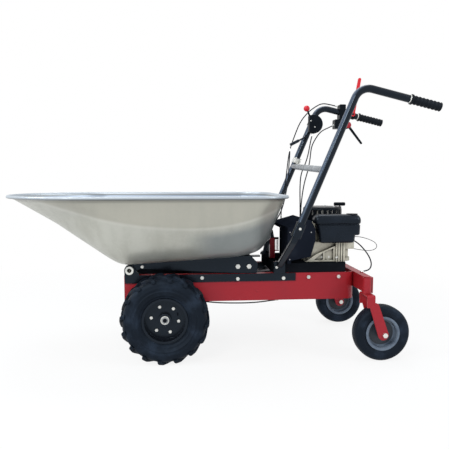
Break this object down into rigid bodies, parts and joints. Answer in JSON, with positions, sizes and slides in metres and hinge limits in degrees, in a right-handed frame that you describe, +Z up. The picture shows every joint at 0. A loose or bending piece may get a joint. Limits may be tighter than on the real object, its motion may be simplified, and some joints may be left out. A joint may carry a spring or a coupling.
{
  "type": "motorised tipping cart",
  "caption": "Walk-behind petrol tipping cart: galvanised tub hinged on a red chassis, lugged drive wheels, swivel casters, rear engine and tube handles with levers.",
  "frame": {"origin": "on the floor, on the centre line, within 10 mm of the middle of the cart's length", "axes": "+X back to the operator, +Y to the operator's right, +Z up; the tub's nose points to -X"},
  "size_m": [1.6333, 0.64, 1.15],
  "materials": {
    "red_paint": "glossy red enamel",
    "galvanised": "galvanised sheet",
    "black_paint": "satin black powder coat",
    "zinc": "zinc plated",
    "shaft_steel": "bright turned steel",
    "alloy": "sand-cast, matt",
    "gearbox_cast": "painted casting",
    "black_plastic": "moulded, slightly satin",
    "red_plastic": "moulded red",
    "rubber": "ribbed, matt",
    "tyre": "matt black rubber",
    "rim_grey": "satin grey",
    "rope": "woven cord"
  },
  "bodies": {
    "chassis": {"left_side_plate": "red_paint", "right_side_plate": "red_paint", "front_cross_plate": "red_paint", "axle_bearings": "shaft_steel", "gearbox_bridge": "red_paint", "gearbox_housing": "gearbox_cast", "caster_beam": "red_paint", "engine_deck": "black_paint", "side_strips": "black_paint", "pivot_ears": "black_paint", "pivot_tube": "zinc", "handle_brackets": "black_paint", "left_handlebar": "black_paint", "right_handlebar": "black_paint", "handle_grips": "rubber", "cross_bar": "zinc", "cable_bracket": "zinc", "lever_clamp": "black_plastic", "throttle_box": "black_plastic", "latch_post": "red_paint", "frame_bolts": "zinc", "control_cables": "rubber", "engine_block": "alloy", "blower_housing": "alloy", "recoil_cover": "black_plastic", "fuel_tank": "black_plastic", "fuel_cap": "black_plastic", "engine_guard": "black_plastic", "muffler": "shaft_steel", "air_filter": "black_plastic", "starter_rope": "rope", "latch_spring": "zinc", "drive_belt": "rubber"},
    "tray": {"tray_tub": "galvanised", "tray_rails": "black_paint", "tray_tie": "black_paint", "tray_bolts": "zinc"},
    "drive_wheels": {"axle_shaft": "shaft_steel", "drive_rims": "black_paint", "left_drive_tyre": "tyre", "right_drive_tyre": "tyre", "wheel_bolts": "zinc"},
    "worm": {"worm_pulley": "shaft_steel"},
    "crank": {"crankshaft": "shaft_steel"},
    "idler": {"idler_arm": "shaft_steel"},
    "left_swivel": {"left_fork": "red_paint", "left_caster_axle": "zinc"},
    "left_wheel": {"left_caster_rim": "rim_grey", "left_caster_tyre": "tyre"},
    "right_swivel": {"right_fork": "red_paint", "right_caster_axle": "zinc"},
    "right_wheel": {"right_caster_rim": "rim_grey", "right_caster_tyre": "tyre"},
    "drive_control": {"drive_lever": "red_plastic"},
    "brake_control": {"brake_lever": "black_plastic"},
    "throttle_control": {"throttle_lever": "black_plastic", "throttle_knob": "red_plastic"},
    "release_control": {"release_lever": "black_paint"},
    "pawl": {"latch_pawl": "black_paint"},
    "starter": {"starter_grip": "black_plastic"}
  },
  "joints": [
    {"name": "tray_tip", "type": "hinge", "parent": "chassis", "child": "tray", "pos_m": [-0.33, 0, 0.337], "axis": [0, -1, 0], "range_deg": [0, 60]},
    {"name": "drive_axle_turn", "type": "hinge", "parent": "chassis", "child": "drive_wheels", "pos_m": [-0.195, 0, 0.165], "axis": [0, 1, 0], "continuous": true},
    {"name": "worm_turn", "type": "hinge", "parent": "chassis", "child": "worm", "pos_m": [-0.132, 0, 0.272], "axis": [0, 0, 1], "continuous": true},
    {"name": "crankshaft_turn", "type": "hinge", "parent": "chassis", "child": "crank", "pos_m": [0.46, 0, 0.272], "axis": [0, 0, 1], "continuous": true},
    {"name": "idler_swing", "type": "hinge", "parent": "chassis", "child": "idler", "pos_m": [0.245, 0.11, 0.29], "axis": [0, 0, 1], "range_deg": [0, 5]},
    {"name": "left_caster_swivel", "type": "hinge", "parent": "chassis", "child": "left_swivel", "pos_m": [0.563, -0.266, 0.286], "axis": [0, 0, 1], "continuous": true},
    {"name": "left_caster_roll", "type": "hinge", "parent": "left_swivel", "child": "left_wheel", "pos_m": [0.619, -0.266, 0.106], "axis": [0, 1, 0], "continuous": true},
    {"name": "right_caster_swivel", "type": "hinge", "parent": "chassis", "child": "right_swivel", "pos_m": [0.563, 0.266, 0.286], "axis": [0, 0, 1], "continuous": true},
    {"name": "right_caster_roll", "type": "hinge", "parent": "right_swivel", "child": "right_wheel", "pos_m": [0.619, 0.266, 0.106], "axis": [0, 1, 0], "continuous": true},
    {"name": "drive_lever_pull", "type": "hinge", "parent": "chassis", "child": "drive_control", "pos_m": [0.67, 0.255, 0.984], "axis": [0, 1, 0], "range_deg": [0, 60], "stiffness_Nm_per_rad": 1, "springref_deg": -34.38},
    {"name": "brake_lever_squeeze", "type": "hinge", "parent": "chassis", "child": "brake_control", "pos_m": [0.646, 0.255, 0.934], "axis": [0, -1, 0], "range_deg": [0, 25], "stiffness_Nm_per_rad": 1, "springref_deg": -22.92},
    {"name": "throttle_set", "type": "hinge", "parent": "chassis", "child": "throttle_control", "pos_m": [0.48, 0.249, 0.936], "axis": [0, 1, 0], "range_deg": [-15, 60]},
    {"name": "release_lever_lift", "type": "hinge", "parent": "chassis", "child": "release_control", "pos_m": [0.452, 0.257, 0.88], "axis": [0, 1, 0], "range_deg": [0, 30], "stiffness_Nm_per_rad": 0.5, "springref_deg": -17.19},
    {"name": "latch_pawl_swing", "type": "hinge", "parent": "chassis", "child": "pawl", "pos_m": [0.248, 0, 0.43], "axis": [0, -1, 0], "range_deg": [0, 10], "deforming": ["latch_spring"]},
    {"name": "starter_pull", "type": "slide", "parent": "chassis", "child": "starter", "axis": [0, 0, 1], "range_m": [0, 0.5], "stiffness_N_per_m": 20, "springref_m": -0.4, "deforming": ["starter_rope"]}
  ],
  "couplings": [
    {"joint": "worm_turn", "follows": "drive_axle_turn", "ratio": 20},
    {"joint": "idler_swing", "follows": "drive_lever_pull", "ratio": 0.083333},
    {"joint": "latch_pawl_swing", "follows": "release_lever_lift", "ratio": 0.33333}
  ]
}
